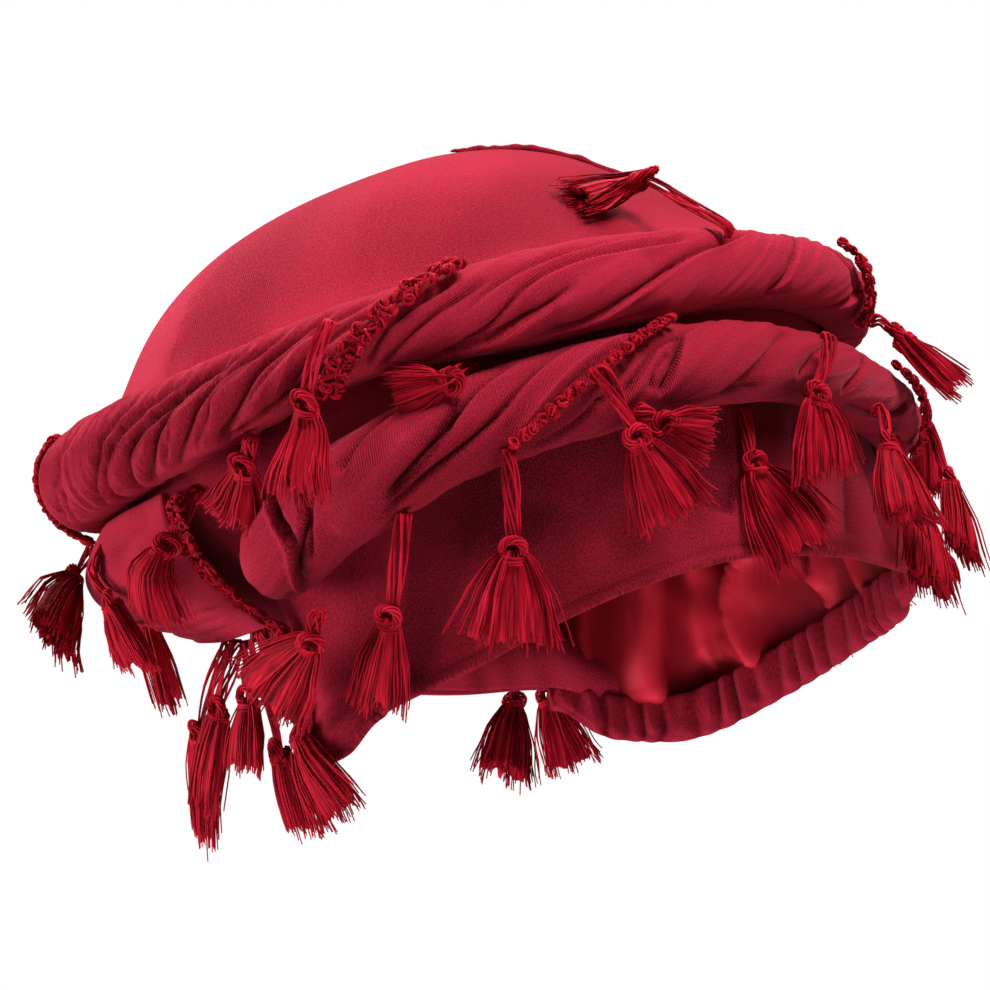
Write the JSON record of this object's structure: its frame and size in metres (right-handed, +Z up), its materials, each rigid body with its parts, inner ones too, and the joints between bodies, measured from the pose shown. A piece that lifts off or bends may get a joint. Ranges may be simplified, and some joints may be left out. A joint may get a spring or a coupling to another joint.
{
  "type": "turban headband",
  "caption": "Pre-tied turban headband: a soft lined cap wrapped in two twisted scarf rolls and a smooth brow band, with crochet trims, hanging tassels and a gathered nape.",
  "frame": {"origin": "middle of the head opening, at the height of the rim over the ears", "axes": "+Z up towards the crown, wearer faces -Y, +X towards the wearer's left"},
  "size_m": [0.2282, 0.2434, 0.1655],
  "materials": {
    "crimson_jersey": "matte ribbed cotton jersey in crimson",
    "crimson_satin": "glossy crimson satin lining",
    "crimson_thread": "twisted and crocheted crimson thread"
  },
  "bodies": {
    "root": {"crown_cap": "crimson_jersey", "brow_band": "crimson_jersey", "side_wrap": "crimson_jersey", "nape_elastic": "crimson_jersey", "upper_twist": "crimson_jersey", "lower_twist": "crimson_jersey", "satin_lining": "crimson_satin", "upper_trim": "crimson_thread", "lower_trim": "crimson_thread", "side_trim": "crimson_thread", "left_trim": "crimson_thread", "back_trim": "crimson_thread", "rear_trim": "crimson_thread", "front_trim": "crimson_thread", "tassel_01": "crimson_thread", "tassel_02": "crimson_thread", "tassel_03": "crimson_thread", "tassel_04": "crimson_thread", "tassel_05": "crimson_thread", "tassel_06": "crimson_thread", "tassel_07": "crimson_thread", "tassel_08": "crimson_thread", "tassel_09": "crimson_thread", "tassel_10": "crimson_thread", "tassel_11": "crimson_thread", "tassel_12": "crimson_thread", "tassel_13": "crimson_thread", "tassel_14": "crimson_thread", "tassel_15": "crimson_thread", "tassel_16": "crimson_thread", "tassel_17": "crimson_thread", "tassel_18": "crimson_thread", "tassel_19": "crimson_thread", "tassel_20": "crimson_thread", "tassel_21": "crimson_thread", "tassel_22": "crimson_thread", "tassel_23": "crimson_thread", "tassel_24": "crimson_thread", "tassel_25": "crimson_thread", "tassel_26": "crimson_thread", "tassel_27": "crimson_thread", "tassel_28": "crimson_thread", "tassel_29": "crimson_thread", "tassel_30": "crimson_thread", "tassel_31": "crimson_thread", "tassel_32": "crimson_thread", "tassel_33": "crimson_thread", "tassel_34": "crimson_thread", "tassel_35": "crimson_thread"}
  },
  "joints": []
}
